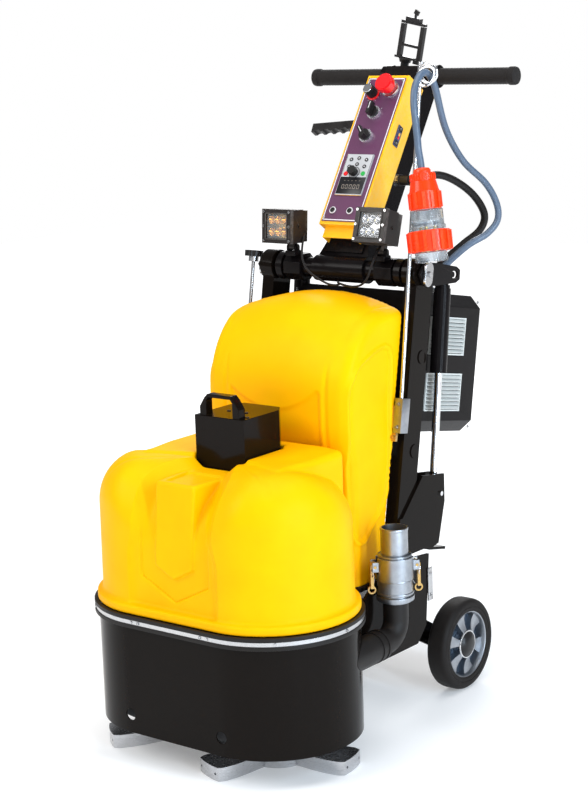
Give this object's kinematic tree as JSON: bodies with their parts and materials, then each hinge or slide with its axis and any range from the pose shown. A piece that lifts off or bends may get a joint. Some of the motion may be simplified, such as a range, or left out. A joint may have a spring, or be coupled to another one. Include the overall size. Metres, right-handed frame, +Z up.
{
  "type": "concrete floor grinder",
  "caption": "Walk-behind concrete floor grinder: lobed grinding plates under a steel shroud, moulded covers, leaning mast, tilting handle with controls and a wheeled chassis.",
  "frame": {"origin": "on the floor under the wheel axle, on the middle plane", "axes": "+Z up, -Y towards the grinding head (the front), +X to the side with the dust port"},
  "size_m": [0.6044, 0.9213, 1.458],
  "materials": {
    "steel_black": "gloss black powder coat",
    "steel_satin": "satin black powder coat",
    "cover_yellow": "satin moulded polyethylene",
    "rubber_black": "matt rubber",
    "tyre_black": "solid rubber tyre",
    "stainless": "brushed stainless steel",
    "bright_steel": "polished steel",
    "aluminium": "machined aluminium",
    "cast_alu": "cast aluminium",
    "cast_iron": "painted casting",
    "motor_grey": "painted motor casting",
    "louvre_grey": "light grey plastic",
    "inverter_grey": "dark grey plastic",
    "box_yellow": "yellow powder coat",
    "fascia_purple": "printed fascia",
    "keypad_silver": "silver plastic",
    "red_plastic": "red plastic",
    "green_plastic": "green plastic",
    "orange_plastic": "orange-red plastic",
    "clear_plastic": "clear polycarbonate",
    "lens_clear": "clear lens",
    "black_plastic": "black plastic",
    "pod_black": "black anodised casting",
    "foam_black": "foam grip",
    "cable_grey": "grey cable sheath",
    "zinc_yellow": "zinc plated steel"
  },
  "bodies": {
    "chassis": {"deck_plate": "steel_satin", "skirt": "steel_black", "bumper_ring": "rubber_black", "bumper_strip": "stainless", "front_cover": "cover_yellow", "rear_cover": "cover_yellow", "chassis_frame": "steel_black", "mast_columns": "steel_black", "strut_rods": "bright_steel", "cabinet": "steel_satin", "cabinet_louvres": "louvre_grey", "inverter": "inverter_grey", "motor": "motor_grey", "gear_case": "cast_iron", "dust_elbow": "rubber_black", "camlock_socket": "cast_alu", "hose_tail": "cast_alu", "cable_mast": "bright_steel", "supply_cable": "cable_grey", "control_cable": "rubber_black", "plug_shell": "orange_plastic", "plug_inner": "clear_plastic"},
    "plug_lock": {"plug_ring": "orange_plastic"},
    "cam_lever_front": {"cam_arm_front": "zinc_yellow"},
    "cam_lever_rear": {"cam_arm_rear": "zinc_yellow"},
    "clamp_screw": {"cover_screw": "stainless"},
    "wheel_left": {"tyre_left": "tyre_black", "rim_left": "cast_alu"},
    "wheel_right": {"tyre_right": "tyre_black", "rim_right": "cast_alu"},
    "grinder_left": {"plate_left": "aluminium", "spindle_left": "stainless"},
    "grinder_right": {"plate_right": "aluminium", "spindle_right": "stainless"},
    "motor_shaft": {"motor_pulley": "stainless"},
    "weight": {"weight_block": "steel_black"},
    "handle": {"pivot_tube": "steel_satin", "handle_frame": "steel_satin", "grips": "foam_black", "control_box": "box_yellow", "fascia": "fascia_purple", "control_bezels": "bright_steel", "keypad": "keypad_silver", "pod_brackets": "steel_satin"},
    "estop": {"estop_button": "red_plastic"},
    "speed": {"speed_knob": "black_plastic"},
    "switch_upper": {"selector_upper": "black_plastic"},
    "switch_lower": {"selector_lower": "black_plastic"},
    "pad_knob": {"keypad_knob": "black_plastic"},
    "run_key": {"key_run": "green_plastic"},
    "stop_key": {"key_stop": "red_plastic"},
    "light_left": {"pod_left": "pod_black", "lens_left": "lens_clear"},
    "light_right": {"pod_right": "pod_black", "lens_right": "lens_clear"},
    "lever": {"hand_lever": "black_plastic"},
    "cradle": {"phone_cradle": "black_plastic"},
    "jaw": {"phone_jaw": "black_plastic"},
    "strut_left": {"strut_tube_left": "steel_satin"},
    "strut_right": {"strut_tube_right": "steel_satin"}
  },
  "joints": [
    {"name": "wheel_left_spin", "type": "hinge", "parent": "chassis", "child": "wheel_left", "pos_m": [-0.208, 0, 0.1], "axis": [1, 0, 0], "continuous": true},
    {"name": "wheel_right_spin", "type": "hinge", "parent": "chassis", "child": "wheel_right", "pos_m": [0.208, 0, 0.1], "axis": [1, 0, 0], "continuous": true},
    {"name": "grinder_right_spin", "type": "hinge", "parent": "chassis", "child": "grinder_right", "pos_m": [0.118, -0.533, 0], "axis": [0, 0, 1], "continuous": true},
    {"name": "grinder_left_spin", "type": "hinge", "parent": "chassis", "child": "grinder_left", "pos_m": [-0.118, -0.533, 0], "axis": [0, 0, 1], "continuous": true},
    {"name": "motor_spin", "type": "hinge", "parent": "chassis", "child": "motor_shaft", "pos_m": [0, -0.24, 0.3], "axis": [0, 0, 1], "continuous": true},
    {"name": "weight_lift", "type": "slide", "parent": "chassis", "child": "weight", "axis": [0, 0, 1], "range_m": [0, 0.25]},
    {"name": "handle_tilt", "type": "hinge", "parent": "chassis", "child": "handle", "pos_m": [0, -0.106, 0.924], "axis": [1, 0, 0], "range_deg": [-20, 20]},
    {"name": "strut_left_slide", "type": "slide", "parent": "chassis", "child": "strut_left", "axis": [0, 0.1226, 0.9925], "range_m": [-0.0385, 0.0385]},
    {"name": "strut_right_slide", "type": "slide", "parent": "chassis", "child": "strut_right", "axis": [0, 0.1226, 0.9925], "range_m": [-0.0385, 0.0385]},
    {"name": "plug_lock_turn", "type": "hinge", "parent": "chassis", "child": "plug_lock", "pos_m": [0.248, -0.16, 1.063], "axis": [-0.1712, 0.0924, 0.9809], "range_deg": [0, 90]},
    {"name": "cam_front_open", "type": "hinge", "parent": "chassis", "child": "cam_lever_front", "pos_m": [0.21959, -0.33341, 0.362], "axis": [0.7071, -0.7071, 0], "range_deg": [-45, 0]},
    {"name": "cam_rear_open", "type": "hinge", "parent": "chassis", "child": "cam_lever_rear", "pos_m": [0.28041, -0.27259, 0.362], "axis": [0.7071, -0.7071, 0], "range_deg": [0, 100]},
    {"name": "clamp_screw_turn", "type": "hinge", "parent": "chassis", "child": "clamp_screw", "pos_m": [-0.232, -0.12505, 0.91046], "axis": [0, 0.181, 0.9835], "continuous": true},
    {"name": "estop_press", "type": "slide", "parent": "handle", "child": "estop", "axis": [0, 0.8358, -0.549], "range_m": [0, 0.004]},
    {"name": "speed_turn", "type": "hinge", "parent": "handle", "child": "speed", "pos_m": [-0.022, 0.04742, 1.28505], "axis": [0, -0.8358, 0.549], "range_deg": [-150, 150]},
    {"name": "switch_upper_turn", "type": "hinge", "parent": "handle", "child": "switch_upper", "pos_m": [-0.002, 0.02106, 1.24493], "axis": [0, -0.8358, 0.549], "range_deg": [-45, 45]},
    {"name": "switch_lower_turn", "type": "hinge", "parent": "handle", "child": "switch_lower", "pos_m": [-0.002, -0.01023, 1.19729], "axis": [0, -0.8358, 0.549], "range_deg": [-90, 0]},
    {"name": "pad_knob_turn", "type": "hinge", "parent": "handle", "child": "pad_knob", "pos_m": [-0.0017, -0.058, 1.12458], "axis": [0, -0.8358, 0.549], "range_deg": [-135, 135]},
    {"name": "run_press", "type": "slide", "parent": "handle", "child": "run_key", "axis": [0, 0.8358, -0.549], "range_m": [0, 0.001]},
    {"name": "stop_press", "type": "slide", "parent": "handle", "child": "stop_key", "axis": [0, 0.8358, -0.549], "range_m": [0, 0.001]},
    {"name": "light_left_tilt", "type": "hinge", "parent": "handle", "child": "light_left", "pos_m": [-0.116, -0.128, 0.968], "axis": [1, 0, 0], "range_deg": [-30, 30]},
    {"name": "light_right_tilt", "type": "hinge", "parent": "handle", "child": "light_right", "pos_m": [0.116, -0.128, 0.968], "axis": [1, 0, 0], "range_deg": [-30, 30]},
    {"name": "hand_lever_pull", "type": "hinge", "parent": "handle", "child": "lever", "pos_m": [-0.06, 0.10491, 1.21139], "axis": [0, 0.8358, -0.549], "range_deg": [0, 16]},
    {"name": "cradle_turn", "type": "hinge", "parent": "handle", "child": "cradle", "pos_m": [-0.02, 0.17, 1.339], "axis": [0.2079, 0, 0.9781], "range_deg": [-90, 90]},
    {"name": "jaw_open", "type": "slide", "parent": "cradle", "child": "jaw", "axis": [0.2079, 0, 0.9781], "range_m": [0, 0.02]}
  ],
  "couplings": [
    {"joint": "grinder_left_spin", "follows": "grinder_right_spin", "ratio": -1},
    {"joint": "motor_spin", "follows": "grinder_right_spin", "ratio": 1.3333},
    {"joint": "strut_left_slide", "follows": "handle_tilt", "m_per_rad": 0.1034},
    {"joint": "strut_right_slide", "follows": "handle_tilt", "m_per_rad": 0.1034}
  ]
}
